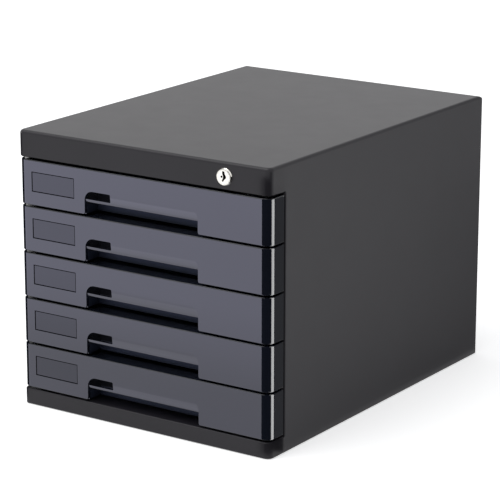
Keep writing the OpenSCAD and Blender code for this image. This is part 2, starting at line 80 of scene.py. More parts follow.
# The photograph's camera, solved from the case's corners. Its place is measured from the middle
# of the case's lower front edge.
PHOTO_PX = 500
FOCAL_PX = 2395.197
CAMERA_AT = Vector((1.176337, -1.569234, 0.702036))
AZIMUTH = math.radians(34.1328)
ELEVATION = math.radians(15.4302)
ROLL = math.radians(0.0643)
CENTRE_OFF_PX = 0.5                     # the optical axis lies this far right of and below the middle
SENSOR_MM = 36.0
CLIP_START = 0.05
CLIP_END = 50


def make_camera():
    """Sets the camera at the photograph's place, angle and focal length."""
    data = bpy.data.cameras.new("photo_camera")
    data.sensor_width = SENSOR_MM
    data.lens = FOCAL_PX * SENSOR_MM / PHOTO_PX
    data.shift_x = -CENTRE_OFF_PX / PHOTO_PX
    data.shift_y = CENTRE_OFF_PX / PHOTO_PX
    data.clip_start = CLIP_START
    data.clip_end = CLIP_END
    back = Vector((
        math.sin(AZIMUTH) * math.cos(ELEVATION),
        -math.cos(AZIMUTH) * math.cos(ELEVATION),
        math.sin(ELEVATION),
    ))
    level = Vector((0, 0, 1)).cross(back).normalized()
    upright = back.cross(level)
    right = level * math.cos(ROLL) + upright * math.sin(ROLL)
    up = upright * math.cos(ROLL) - level * math.sin(ROLL)
    camera = bpy.data.objects.new("photo_camera", data)
    turn = Matrix((right, up, back)).transposed().to_4x4()
    place = Matrix.Translation(CAMERA_AT + Vector((0, FRONT_Y, FLOOR_Z)))
    camera.matrix_world = place @ turn
    bpy.context.scene.collection.objects.link(camera)
    bpy.context.scene.camera = camera


# ---------------------------------------------------------------- material helpers

AO_SAMPLES = 8
BEVEL_SAMPLES = 4


class Shader:
    """A node material with short calls for the nodes that the finishes below need."""

    def __init__(self, name):
        self.mat = bpy.data.materials.new(name)
        self.mat.use_nodes = True
        self.tree = self.mat.node_tree
        self.bsdf = self.tree.nodes["Principled BSDF"]
        self.place = self.tree.nodes.new("ShaderNodeTexCoord").outputs["Object"]

    def link(self, a, b):
        self.tree.links.new(a, b)

    def share(self, vector, axis):
        """A vector's X, Y or Z."""
        split = self.tree.nodes.new("ShaderNodeSeparateXYZ")
        self.link(vector, split.inputs[0])
        return split.outputs[axis]

    def geometry(self, name):
        return self.tree.nodes.new("ShaderNodeNewGeometry").outputs[name]

    def noise(self, scale, detail=2.0, rough=0.5, stretch=None):
        """Noise in the row frame, in features per metre, stretched along the axes if asked."""
        node = self.tree.nodes.new("ShaderNodeTexNoise")
        node.inputs["Scale"].default_value = scale
        node.inputs["Detail"].default_value = detail
        node.inputs["Roughness"].default_value = rough
        source = self.place
        if stretch:
            mapping = self.tree.nodes.new("ShaderNodeMapping")
            mapping.inputs["Scale"].default_value = stretch
            self.link(source, mapping.inputs["Vector"])
            source = mapping.outputs["Vector"]
        self.link(source, node.inputs["Vector"])
        return node.outputs["Fac"]

    def ramp(self, source, low, high, start=0.3, end=0.7):
        """Colours or greys from low to high, as the source goes from start to end."""
        node = self.tree.nodes.new("ShaderNodeValToRGB")
        for element, place, colour in zip(node.color_ramp.elements, (start, end), (low, high)):
            element.position = place
            element.color = (*(colour if hasattr(colour, "__len__") else grey(colour)), 1)
        self.link(source, node.inputs["Fac"])
        return node.outputs["Color"]

    def span(self, source, start, end):
        """0 where the source is before the start and 1 where it is past the end."""
        node = self.tree.nodes.new("ShaderNodeMapRange")
        node.inputs["From Min"].default_value = start
        node.inputs["From Max"].default_value = end
        self.link(source, node.inputs["Value"])
        return node.outputs["Result"]

    def math(self, operation, a, b):
        """One math node on two sources or numbers."""
        node = self.tree.nodes.new("ShaderNodeMath")
        node.operation = operation
        for value, socket in zip((a, b), node.inputs):
            if isinstance(value, (int, float)):
                socket.default_value = value
            else:
                self.link(value, socket)
        return node.outputs[0]

    def both(self, a, b):
        return self.math("MULTIPLY", a, b)

    def mix(self, factor, a, b):
        """Colour a where the factor is 0 and colour b where it is 1."""
        node = self.tree.nodes.new("ShaderNodeMix")
        node.data_type = "RGBA"
        for value, socket in zip((a, b), (node.inputs[6], node.inputs[7])):
            if hasattr(value, "__len__"):
                socket.default_value = (*value, 1)
            else:
                self.link(value, socket)
        self.link(factor, node.inputs[0])
        return node.outputs[2]

    def edges(self, radius):
        """About 1 along sharp outer edges and 0 on flat faces, from normals rounded over the radius."""
        bevel = self.tree.nodes.new("ShaderNodeBevel")
        bevel.samples = BEVEL_SAMPLES
        bevel.inputs["Radius"].default_value = radius
        dot = self.tree.nodes.new("ShaderNodeVectorMath")
        dot.operation = "DOT_PRODUCT"
        self.link(bevel.outputs["Normal"], dot.inputs[0])
        self.link(self.geometry("Normal"), dot.inputs[1])
        return self.ramp(dot.outputs["Value"], 1.0, 0.0, start=0.90, end=0.995)

    def along(self, axis, start, end):
        """0 before the start and 1 past the end along X, Y or Z, or along X's size as "|X|"."""
        source = self.share(self.place, axis.strip("|"))
        if axis == "|X|":
            source = self.math("ABSOLUTE", source, 0.0)
        return self.span(source, start, end)

    def height_in_row(self):
        """Height over the lower edge of whichever front a point belongs to."""
        height = self.math("SUBTRACT", self.share(self.place, "Z"), ROW_Z)
        return self.math("MODULO", height, ROW_PITCH)

    def facing_up(self):
        """1 on level upper faces and 0 on the rest."""
        upward = self.share(self.geometry("True Normal"), "Z")
        return self.ramp(upward, 0.0, 1.0, start=0.96, end=0.99)

    def facing_down(self, start, end):
        """0 where a face's downward share of its normal is before the start, and 1 past the end."""
        upward = self.share(self.geometry("True Normal"), "Z")
        return self.span(upward, -start, -end)

    def crevices(self, reach):
        """1 deep in corners and grooves narrower than the reach, and 0 in the open."""
        node = self.tree.nodes.new("ShaderNodeAmbientOcclusion")
        node.samples = AO_SAMPLES
        node.inputs["Distance"].default_value = reach
        return self.ramp(node.outputs["AO"], 1.0, 0.0, start=0.35, end=0.80)

    def bump(self, source, strength, distance, under=None):
        """Bump from the source, on top of another bump if one is given."""
        node = self.tree.nodes.new("ShaderNodeBump")
        node.inputs["Strength"].default_value = strength
        node.inputs["Distance"].default_value = distance
        self.link(source, node.inputs["Height"])
        if under:
            self.link(under, node.inputs["Normal"])
        return node.outputs["Normal"]

    def socket(self, name, value):
        """Sets an even value on the material itself."""
        self.bsdf.inputs[name].default_value = value

    def drive(self, name, source):
        """Lets a source that varies over the piece set a value of the material."""
        self.link(source, self.bsdf.inputs[name])


def tint(colour, factor):
    return tuple(c * factor for c in colour)


def grey(level):
    return (level, level, level)


# ---------------------------------------------------------------- kinds of material

UM = 1e-6
# How far a face turns down, as the downward share of its normal.
UNDERSIDE = (0.15, 0.55)      # where the shade of an underside starts and where it is full
PLATE_LEAN = (0.06, 0.08)     # the pull's plate leans at least this much
PLATE_LIMIT = (0.20, 0.24)    # and no more than this
# Shine of the fronts' sunk places, as a share of the face's: lowered on the pocket's upper walls
# and in the groove as painted shade, and tinted blue on the lower wall as a painted reflection.
FIELD_SHINE = 0.73            # the label field
LIT_LOW_WALL_TINT = (0.48, 0.56, 0.80)
SHADED_WALL_SHINE = 0.38
SHADED_GROOVE_SHINE = 0.10
LOW_WALL_ROUGH = 0.56
# painted highlight: extra shine that lightens the pull's leaning plate
PLATE_HIGHLIGHT_SHINE = 0.11            # what the pull's plate has more than the face


def moulded_plastic(name, colour, rough, grain_um=20, grain_scale=1600, specular=0.5, edge_highlight_gain=1.5):
    """Moulded plastic: faint colour patches, a spark-eroded grain, a patchy painted highlight along the
    edges, and painted shade on undersides."""
    s = Shader(name)
    patches = s.ramp(s.noise(14, detail=4), tint(colour, 0.94), tint(colour, 1.06))
    # painted highlight: edges get a lighter colour, broken up by noise, for the light they catch
    painted_edge_highlight = s.both(s.edges(radius=0.0008), s.ramp(s.noise(60, detail=4), 0.35, 1.0))
    # painted shade: faces turned to the floor get a darker colour and a weaker reflection
    under = s.facing_down(*UNDERSIDE)
    open_faces = s.mix(painted_edge_highlight, patches, tint(colour, edge_highlight_gain))
    s.drive("Base Color", s.mix(under, open_faces, tint(colour, 0.35)))
    s.drive("Specular Tint", s.mix(under, grey(1.0), grey(0.35)))
    s.drive("Roughness", s.ramp(s.noise(45, detail=5, rough=0.6), *rough))
    grain = s.noise(grain_scale, detail=3, rough=0.6)
    s.drive("Normal", s.bump(grain, strength=0.35, distance=grain_um * UM))
    s.socket("Specular IOR Level", specular)
    return s.mat


def gloss_plastic(name, colour, rough, inner_rough, specular=0.5):
    """High-gloss plastic: a polished mould's slight waviness and light smudges on the face, a
    shinier pull plate as a painted highlight, a duller label field in a matt groove painted dark as
    shade, and a pocket behind the pull with a satin lower wall painted light as a reflection and
    matt upper walls painted dark as shade."""
    s = Shader(name)
    walls = s.math("SUBTRACT", 1.0, s.facing_up())
    pocket = s.both(s.both(s.along("Y", *POCKET_Y), s.along("|X|", *POCKET_X)), walls)
    lit_low_wall = s.both(pocket, s.span(s.height_in_row(), *LOW_WALL_Z))
    shaded_high_wall = s.math("SUBTRACT", pocket, lit_low_wall)
    label = s.both(s.along("X", *LABEL_LEFT_X), s.along("X", *LABEL_RIGHT_X))
    field = s.both(label, s.along("Y", *FIELD_Y))
    groove = s.both(label, s.along("Y", *GROOVE_Y))
    matt = s.math("MAXIMUM", shaded_high_wall, groove)

    patches = s.ramp(s.noise(9, detail=3), tint(colour, 0.93), tint(colour, 1.07))
    # painted shade on the pocket's upper walls, and a painted reflection lightening its lower wall
    painted_pocket = s.mix(shaded_high_wall, s.mix(lit_low_wall, patches, tint(colour, 1.4)), tint(colour, 0.3))
    # painted shade: the label's groove gets a near-black colour
    s.drive("Base Color", s.mix(groove, painted_pocket, tint(colour, 0.1)))

    smears = s.noise(26, detail=6, rough=0.65, stretch=(1, 1, 2.2))
    smudge = s.ramp(smears, *rough, start=0.38, end=0.72)
    satin = s.mix(lit_low_wall, smudge, grey(LOW_WALL_ROUGH))
    s.drive("Roughness", s.mix(matt, satin, grey(inner_rough)))

    # painted reflection and shade: a blue-tinted shine on the lower wall, a weaker one on the upper walls
    shine = s.mix(lit_low_wall, grey(1.0), LIT_LOW_WALL_TINT)
    shine = s.mix(field, shine, grey(FIELD_SHINE))
    shine = s.mix(matt, shine, grey(SHADED_WALL_SHINE))
    # painted shade: the groove's reflection is cut to a tenth
    s.drive("Specular Tint", s.mix(groove, shine, grey(SHADED_GROOVE_SHINE)))
    # painted highlight: the leaning plate reflects more than the rest of the same plastic
    plate_face = s.math("SUBTRACT", s.facing_down(*PLATE_LEAN), s.facing_down(*PLATE_LIMIT))
    s.drive("Specular IOR Level", s.math("ADD", specular, s.both(plate_face, PLATE_HIGHLIGHT_SHINE)))

    wave = s.bump(s.noise(34, rough=0.4), strength=0.2, distance=100 * UM)
    s.drive("Normal", s.bump(s.noise(900), strength=0.12, distance=8 * UM, under=wave))
    return s.mat


def plated_metal(name, colour, rough, brush=None, crevice_shade_reach=0.0012):
    """Plated metal with painted shade in its grooves, brushed along an axis if a stretch is given."""
    s = Shader(name)
    s.socket("Metallic", 1.0)
    plating = s.ramp(s.noise(420, detail=4, rough=0.6), tint(colour, 0.78), tint(colour, 1.04))
    # painted shade: colour in corners and grooves darkened to a tenth
    s.drive("Base Color", s.mix(s.crevices(crevice_shade_reach), plating, tint(colour, 0.10)))
    s.drive("Roughness", s.ramp(s.noise(700, detail=4, rough=0.6, stretch=brush), *rough))
    scratches = s.noise(1500, detail=3, rough=0.6, stretch=brush)
    s.drive("Normal", s.bump(scratches, strength=0.25, distance=10 * UM))
    return s.mat


def keyway_shade():
    """Painted shade inside the keyway and under the plug's head, in a patchy dark brown."""
    s = Shader("keyway_shade")
    s.drive("Base Color", s.ramp(s.noise(600, detail=3), KEYWAY_SHADE_DARK, KEYWAY_SHADE_LIGHT))
    s.drive("Roughness", s.ramp(s.noise(900, detail=3), 0.6, 0.85))
    s.drive("Normal", s.bump(s.noise(1500), strength=0.3, distance=10 * UM))
    s.socket("Specular IOR Level", 0.2)
    return s.mat


def rubber(name, colour):
    """Dull rubber with a fine skin."""
    s = Shader(name)
    s.drive("Base Color", s.ramp(s.noise(80, detail=4), tint(colour, 0.8), tint(colour, 1.25)))
    s.drive("Roughness", s.ramp(s.noise(300, detail=3), 0.75, 0.92))
    s.drive("Normal", s.bump(s.noise(1300, detail=3), strength=0.5, distance=30 * UM))
    return s.mat


# ---------------------------------------------------------------- finishes

CASE_COLOUR = (0.0150, 0.0137, 0.0176)
FRONT_COLOUR = (0.0062, 0.0076, 0.0125)
TRAY_COLOUR = (0.016, 0.016, 0.019)
NICKEL = (0.86, 0.84, 0.79)
STEEL = (0.55, 0.55, 0.54)
RUBBER = (0.018, 0.018, 0.018)
# painted shade colours for the keyway's inside and under the plug's head
KEYWAY_SHADE_DARK = (0.010, 0.008, 0.005)
KEYWAY_SHADE_LIGHT = (0.024, 0.019, 0.012)
UPRIGHT_BRUSH = (1, 1, 0.08)


def finishes():
    """One material for each of the record's slots."""
    return {
        "case_plastic": moulded_plastic("case_plastic", CASE_COLOUR, (0.38, 0.40), specular=0.30),
        "front_plastic": gloss_plastic("front_plastic", FRONT_COLOUR, (0.05, 0.10), inner_rough=0.95),
        "tray_plastic": moulded_plastic("tray_plastic", TRAY_COLOUR, (0.30, 0.42), grain_um=8, edge_highlight_gain=1.2),
        "lock_metal": plated_metal("lock_metal", NICKEL, (0.12, 0.24)),
        "bar_steel": plated_metal("bar_steel", STEEL, (0.25, 0.42), brush=UPRIGHT_BRUSH),
        "screw_steel": plated_metal("screw_steel", STEEL, (0.22, 0.36)),
        "foot_rubber": rubber("foot_rubber", RUBBER),
    }


def dress(materials):
    """Gives every CAD node the material of its slot."""
    for part in frame["record"]["subparts"]:
        obj = nodes[part["node"]]
        obj.data.materials.clear()
        obj.data.materials.append(materials[part["material_slot"]])


# ---------------------------------------------------------------- mesh helpers

MM = 0.001
ROUND_STEPS = 72
QUAD = [(0, 1, 2, 3)]    # the one face of a mesh of four points
SMOOTH_DEG = 32          # faces that meet at a sharper angle show an edge
BEVEL_DEG = 50
BEVEL_STEPS = 2


def mesh_object(name, points, faces):
    mesh = bpy.data.meshes.new(name)
    mesh.from_pydata(points, [], faces)
    obj = bpy.data.objects.new(name, mesh)
    bpy.context.scene.collection.objects.link(obj)
    return obj


def circle(radius, steps=ROUND_STEPS, at=(0, 0)):
    turns = [math.tau * i / steps for i in range(steps)]
    return [(at[0] + radius * math.cos(t), at[1] + radius * math.sin(t)) for t in turns]


def loop_edges(bm, verts):
    """The edges of a closed loop of points, made where they are missing."""
    edges = []
    for a, b in zip(verts, verts[1:] + verts[:1]):
        edges.append(bm.edges.get((a, b)) or bm.edges.new((a, b)))
    return edges


def revolve(bm, profile, place, steps=ROUND_STEPS, closed=True):
    """Turns a profile of (radius, height) points round the place's Z axis, and returns its columns."""
    columns = []
    for i in range(steps):
        turn = math.tau * i / steps
        spoke = Vector((math.cos(turn), math.sin(turn), 0))
        columns.append([bm.verts.new(place @ (spoke * r + Vector((0, 0, h)))) for r, h in profile])
    last = len(profile) if closed else len(profile) - 1
    for one, other in zip(columns, columns[1:] + columns[:1]):
        for j in range(last):
            k = (j + 1) % len(profile)
            bm.faces.new((one[j], one[k], other[k], other[j]))
    return columns


def plate(bm, outlines, place, low, high):
    """Closed plate between two heights: the first outline is its rim, and the others are holes."""
    edges = []
    for outline in outlines:
        edges += loop_edges(bm, [bm.verts.new(place @ Vector((x, y, low))) for x, y in outline])
    made = bmesh.ops.triangle_fill(bm, use_beauty=True, edges=edges)
    faces = [g for g in made["geom"] if isinstance(g, bmesh.types.BMFace)]
    raised = bmesh.ops.extrude_face_region(bm, geom=faces)
    verts = [g for g in raised["geom"] if isinstance(g, bmesh.types.BMVert)]
    bmesh.ops.translate(bm, verts=verts, vec=place.to_3x3() @ Vector((0, 0, high - low)))


def metal_piece(name, bm, node, body, bevel_mm=0.0):
    """Makes the piece that stands for a CAD node, with its edges softened where it says."""
    bmesh.ops.recalc_face_normals(bm, faces=bm.faces)
    mesh = bpy.data.meshes.new(name)
    bm.to_mesh(mesh)
    bm.free()
    for face in mesh.polygons:
        face.use_smooth = True
    mesh.set_sharp_from_angle(angle=math.radians(SMOOTH_DEG))
    obj = bpy.data.objects.new(name, mesh)
    bpy.context.scene.collection.objects.link(obj)
    if bevel_mm:
        soft = obj.modifiers.new("soft_edges", "BEVEL")
        soft.width = bevel_mm * MM
        soft.segments = BEVEL_STEPS
        soft.limit_method = "ANGLE"
        soft.angle_limit = math.radians(BEVEL_DEG)
        soft.harden_normals = True
    mesh.materials.append(nodes[node].data.materials[0])
    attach(obj, body)
    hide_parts(node)
    return obj


# ---------------------------------------------------------------- lock

# Millimetres, as radii and as heights over the case's front plane.
PLUG_R = 4.6
GAP = 0.05               # round the plug and under its head
CAP_R = 6.1              # the plug's head
CAP_T = 0.7
CAP_OVERLAP = 0.02       # how far the plug's lengths run into each other
RIM_R = 6.8              # the housing's rim, round the head
RIM_LOW = 0.1            # below the head's face
RIM_FOOT = 1.75
NECK_R = RIM_R - 0.4     # the groove between rim and flange
NECK_TOP = 1.6
NECK_FOOT = 1.45
SKIRT_R = RIM_R + 0.05   # where the flange's cone starts
SKIRT_TOP = 1.4
FLANGE_R = 7.6
FLANGE_T = 0.3
FLANGE_EDGE = 0.05
FLANGE_SLOPE_FOOT = 0.4
BARREL_R = 6.0
LOCK_PROUD = 2.2
TAIL_W = 5.0             # the square tail that carries the cam
KEYWAY = [(-1.1, 5.0), (1.1, 5.0), (1.35, 3.0), (2.8, 0.7), (2.6, -0.6), (1.05, -1.9), (-0.3, -3.9),
          (-1.6, -3.5), (-0.45, -0.9), (-0.35, 1.1), (-1.1, 2.7)]
KEYWAY_DEPTH = 9.0
KEYWAY_TAPER = 0.75      # the keyway behind the head, as a share of its mouth
PIN_HOLE_AT = (-1.75, 0.3)
PIN_HOLE_R = 0.98
PIN_HOLE_STEPS = 20
PLUG_EDGE = 0.12         # how far the plug's edges are softened
LOCK_STEPS = 96
SHADE_DEPTH = 0.2        # faces deeper than this under the head's face are in shade
SHADE_INSET = 0.05


def front_place(node):
    """Frame in millimetres on the case's front plane at a round node's axis, with Z out of it."""
    low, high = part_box(node)
    axis = (Vector(low) + Vector(high)) / 2
    turn = Matrix(((1, 0, 0), (0, 0, -1), (0, 1, 0))).to_4x4()
    return Matrix.Translation((axis.x, FRONT_Y, axis.z)) @ turn @ Matrix.Scale(MM, 4)


def depth_mm(y):
    return (y - FRONT_Y) / MM


def shade_inside(obj, place, shade):
    """Gives the shade to the faces behind the lock's face plane and inside the plug's head."""
    obj.data.materials.append(shade)
    back = place.inverted()
    for face in obj.data.polygons:
        at = back @ face.center
        if at.z < LOCK_PROUD - SHADE_DEPTH and at.xy.length < CAP_R - SHADE_INSET:
            face.material_index = 1


def housing_profile(barrel):
    """The housing's section as (radius, height) points, from the seat under the plug's head round
    the rim with its softened edges, the neck, the flange and the barrel of the given length."""
    bore_r = PLUG_R + GAP
    head_r = CAP_R + GAP
    seat = LOCK_PROUD - CAP_T - GAP
    rim = LOCK_PROUD - RIM_LOW
    return [
        (bore_r, seat), (head_r, seat), (head_r, rim - 0.1), (head_r + 0.08, rim),
        (RIM_R - 0.2, rim), (RIM_R - 0.06, rim - 0.05), (RIM_R, rim - 0.15), (RIM_R, RIM_FOOT),
        (NECK_R, NECK_TOP), (NECK_R, NECK_FOOT), (SKIRT_R, SKIRT_TOP),
        (FLANGE_R - FLANGE_EDGE, FLANGE_SLOPE_FOOT), (FLANGE_R, FLANGE_T), (FLANGE_R, 0.0),
        (BARREL_R, 0.0), (BARREL_R, -barrel), (bore_r, -barrel),
    ]


def make_housing(place, shade):
    """Housing with a flange, a grooved neck and a rimmed face."""
    barrel = depth_mm(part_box("lock_housing")[1].y)
    bm = bmesh.new()
    revolve(bm, housing_profile(barrel), place, steps=LOCK_STEPS)
    housing = metal_piece("lock_housing_turned", bm, "lock_housing", "case")
    shade_inside(housing, place, shade)


def make_plug(place, shade):
    """Plug with a slotted head that fills the housing, and a square tail for the cam."""
    cam_front = depth_mm(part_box("lock_cam")[0].y)
    plug_end = depth_mm(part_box("lock_plug")[1].y)
    under_head = LOCK_PROUD - CAP_T
    pin_hole = circle(PIN_HOLE_R, PIN_HOLE_STEPS, PIN_HOLE_AT)
    inner_keyway = [(x * KEYWAY_TAPER, z * KEYWAY_TAPER) for x, z in KEYWAY]
    tail = TAIL_W / 2
    square = [(-tail, -tail), (tail, -tail), (tail, tail), (-tail, tail)]
    bm = bmesh.new()
    plate(bm, [circle(CAP_R, LOCK_STEPS), KEYWAY, pin_hole], place, under_head, LOCK_PROUD)
    plate(bm, [circle(PLUG_R), inner_keyway], place, -KEYWAY_DEPTH, under_head + CAP_OVERLAP)
    plate(bm, [circle(PLUG_R)], place, -cam_front, -KEYWAY_DEPTH + CAP_OVERLAP)
    plate(bm, [square], place, -plug_end, -cam_front + CAP_OVERLAP)
    plug = metal_piece("lock_plug_slotted", bm, "lock_plug", "lock_core", bevel_mm=PLUG_EDGE)
    shade_inside(plug, place, shade)


def make_lock():
    place = front_place("lock_housing")
    shade = keyway_shade()
    make_housing(place, shade)
    make_plug(place, shade)


# ---------------------------------------------------------------- screws

# Shares of a screw's own head radius, head height, shank radius and length.
PAN_HEAD = [(0.62, 1.0), (0.82, 0.92), (0.95, 0.66), (1.0, 0.30), (1.0, 0.0)]
TIP_START = 0.85
TIP_R = 0.25
CROSS_REACH = 0.50
CROSS_HALF_W = 0.13
CROSS_FLOOR = 0.6        # the recess's floor, as a share of its mouth
CROSS_FLOOR_H = 0.35
SCREW_STEPS = 32
HEAD_RIM = 0.9           # points farther out than this share of the head's radius are on the head
AXIS_ZONE = 0.2          # points nearer the axis than this share aren't on the shank's side
WELD = 1e-6
QUARTER_TURNS = ((1, 0), (0, 1), (-1, 0), (0, -1))


def solids_of(node):
    """The points of each separate solid in a node."""
    bm = bmesh.new()
    bm.from_mesh(nodes[node].data)
    bmesh.ops.remove_doubles(bm, verts=bm.verts, dist=WELD)
    seen = set()
    solids = []
    for start in bm.verts:
        if start in seen:
            continue
        seen.add(start)
        queue = [start]
        points = []
        while queue:
            vert = queue.pop()
            points.append(vert.co.copy())
            for edge in vert.link_edges:
                other = edge.other_vert(vert)
                if other not in seen:
                    seen.add(other)
                    queue.append(other)
        solids.append(points)
    bm.free()
    return solids


def screw_frame(points):
    """Where a plain screw stands: its frame, with Z out of the head's seat, and its four sizes."""
    low = Vector([min(p[k] for p in points) for k in range(3)])
    high = Vector([max(p[k] for p in points) for k in range(3)])
    middle = (low + high) / 2
    mean = sum(points, Vector()) / len(points)
    k = max(range(3), key=lambda a: abs(mean[a] - middle[a]))
    across = [(p, p - middle) for p in points]
    for _, arm in across:
        arm[k] = 0
    head_r = max(arm.length for _, arm in across)
    head = [p[k] for p, arm in across if arm.length > HEAD_RIM * head_r]
    shank_r = min(arm.length for _, arm in across if arm.length > AXIS_ZONE * head_r)
    outward = 1 if sum(head) / len(head) > middle[k] else -1
    head_h = max(head) - min(head)
    seat = middle.copy()
    seat[k] = min(head) if outward > 0 else max(head)
    direction = Vector((0, 0, 0))
    direction[k] = outward
    turn = direction.to_track_quat("Z", "Y").to_matrix().to_4x4()
    return Matrix.Translation(seat) @ turn, head_r, head_h, shank_r, (high - low)[k] - head_h


def cross_outline(reach, half_w):
    """Outline of a cross with four equal arms."""
    quarter = [(reach, -half_w), (reach, half_w), (half_w, half_w)]
    return [(c * x - s * y, s * x + c * y) for c, s in QUARTER_TURNS for x, y in quarter]


def cross_screw(bm, place, head_r, head_h, shank_r, length):
    """Pan-head screw with a cross recess and a pointed shank."""
    profile = [(r * head_r, h * head_h) for r, h in PAN_HEAD]
    profile += [(shank_r, 0), (shank_r, -TIP_START * length), (TIP_R * shank_r, -length)]
    columns = revolve(bm, profile, place, steps=SCREW_STEPS, closed=False)
    bm.faces.new([column[-1] for column in columns])
    rim = loop_edges(bm, [column[0] for column in columns])
    cross = cross_outline(CROSS_REACH * head_r, CROSS_HALF_W * head_r)
    mouth = [bm.verts.new(place @ Vector((x, y, head_h))) for x, y in cross]
    low = CROSS_FLOOR_H * head_h
    bottom = [bm.verts.new(place @ Vector((CROSS_FLOOR * x, CROSS_FLOOR * y, low))) for x, y in cross]
    bmesh.ops.triangle_fill(bm, use_beauty=True, edges=rim + loop_edges(bm, mouth))
    for i in range(len(cross)):
        k = (i + 1) % len(cross)
        bm.faces.new((mouth[i], mouth[k], bottom[k], bottom[i]))
    bmesh.ops.triangle_fill(bm, use_beauty=True, edges=loop_edges(bm, bottom))


def make_screws(node, body):
    """Stands a cross-recessed screw for each plain one of a node."""
    bm = bmesh.new()
    for points in solids_of(node):
        cross_screw(bm, *screw_frame(points))
    metal_piece(node + "_crossed", bm, node, body)


# ---------------------------------------------------------------- studio

SOFT_COLOUR = (0.97, 0.98, 1.0, 1)
SOFT_LEVEL = 0.60        # how bright the studio is for surfaces, all round
WHITE = (1, 1, 1, 1)
KEY_AT = (-0.6, -0.9, 2.2)
KEY_TOWARDS = (0, 0, 0.1)
KEY_SIZE = (1.8, 1.8)
KEY_LEVEL = 2.6          # the overhead softbox, where white paper is 1
FLOOR_HALF = 6.0
FLOOR_COLOUR = (0.90, 0.90, 0.90, 1)
FLOOR_ROUGH = 0.9
FLOOR_LIFT = 0.50        # a glow on the lit floor that only the camera and reflections see


def light_path(tree):
    """1 on rays that show or mirror the background, and 0 on those that light a surface."""
    paths = tree.nodes.new("ShaderNodeLightPath")
    shown = paths.outputs["Is Camera Ray"]
    for also in ("Is Glossy Ray", "Is Transmission Ray"):
        either = tree.nodes.new("ShaderNodeMath")
        either.operation = "MAXIMUM"
        tree.links.new(shown, either.inputs[0])
        tree.links.new(paths.outputs[also], either.inputs[1])
        shown = either.outputs[0]
    return shown


def background(tree, colour, strength):
    node = tree.nodes.new("ShaderNodeBackground")
    node.inputs["Color"].default_value = colour
    node.inputs["Strength"].default_value = strength
    return node.outputs[0]


def studio_world():
    """Even soft light on the object, and a white background for the camera and for reflections."""
    world = bpy.data.worlds.new("studio")
    bpy.context.scene.world = world
    world.use_nodes = True
    tree = world.node_tree
    tree.nodes.clear()
    mix = tree.nodes.new("ShaderNodeMixShader")
    tree.links.new(light_path(tree), mix.inputs["Fac"])
    tree.links.new(background(tree, SOFT_COLOUR, SOFT_LEVEL), mix.inputs[1])
    tree.links.new(background(tree, WHITE, 1.0), mix.inputs[2])
    out = tree.nodes.new("ShaderNodeOutputWorld")
    tree.links.new(mix.outputs[0], out.inputs["Surface"])


def softbox(name, at, towards, size, level):
    """Soft lamp of an even brightness, hidden from the camera."""
    data = bpy.data.lights.new(name, "AREA")
    data.shape = "RECTANGLE"
    data.size, data.size_y = size
    data.energy = level * math.pi * size[0] * size[1]
    lamp = bpy.data.objects.new(name, data)
    lamp.location = at
    lamp.rotation_mode = "QUATERNION"
    lamp.rotation_quaternion = (Vector(towards) - Vector(at)).to_track_quat("-Z", "Y")
    lamp.visible_camera = False
    bpy.context.scene.collection.objects.link(lamp)


def level_quad(x0, x1, y0, y1, z):
    return [(x0, y0, z), (x1, y0, z), (x1, y1, z), (x0, y1, z)]


def floor():
    """Plain pale floor: white to the camera, with the object's soft shadow on it."""
    points = level_quad(-FLOOR_HALF, FLOOR_HALF, -FLOOR_HALF, FLOOR_HALF, 0)
    obj = mesh_object("floor", points, QUAD)
    s = Shader("pale_floor")
    s.socket("Base Color", FLOOR_COLOUR)
    s.socket("Roughness", FLOOR_ROUGH)
    s.socket("Specular IOR Level", 0.0)
    s.socket("Emission Color", WHITE)
    s.drive("Emission Strength", s.both(light_path(s.tree), FLOOR_LIFT))
    obj.data.materials.append(s.mat)


# ---------------------------------------------------------------- reflected cards and films

CARD_TINT = (0.66, 0.655, 1.0)
# The bright floor's level at each distance in front of the fronts.
CARD_LEVELS = [(0.02, 0.95), (0.12, 0.93), (0.22, 1.39), (0.34, 1.85), (0.50, 1.90), (0.90, 2.25)]
CARD_HALF = 1.6
CARD_NEAR = 0.012        # the floor card, from the front plane
CARD_FAR = 1.3
CARD_Z = 0.002

ARC_R = 0.018            # the cards round the corners
ARC_FOOT = 0.001
ARC_STEP_DEG = 6
CARD_TOP = 0.2230        # just under the fascia
RIGHT = 1
LEFT = -1
# Side, first and last angle (0 in front of the corner, 90 beside it), level, whether it shows in
# the fronts alone, and its top.
ARC_CARDS = {
    "corner_flag": (RIGHT, -22.5, 75.5, 0.0, False, TOP_Z - 0.0102),
    "edge_strip": (RIGHT, 75.5, 109, 9.0, True, CARD_TOP),
    "side_flag": (RIGHT, 109, 150, 0.22, True, CARD_TOP),
    "left_flag": (LEFT, 43, 125, 0.0, False, TOP_Z - 0.004),
}

LOCK_FLAG_X = HALF_W + 0.13
LOCK_FLAG_Y = (FRONT_Y - 0.09, FRONT_Y + 0.01)
LOCK_FLAG_Z = (0.12, 0.235)

FILM_X = (HALF_W + 0.004, HALF_W + 0.70)
FILM_Y = (FRONT_Y + 0.03, 0.80)
FILM_Z = 0.0015
FLOOR_FILM = ((2.4, -1.1, 0), 0.24)
BACK_FILM = ((1.2, 0, 0), 0.10)
BACK_FILM_X = 1.3
BACK_FILM_TOP = 1.0
SIDE_CARD_X = (HALF_W + 0.40, HALF_W + 0.90)
SIDE_CARD_Y = (FRONT_Y + 0.35, FRONT_Y + 0.95)
SIDE_CARD_Z = 0.003
SIDE_CARD_LEVEL = 0.45


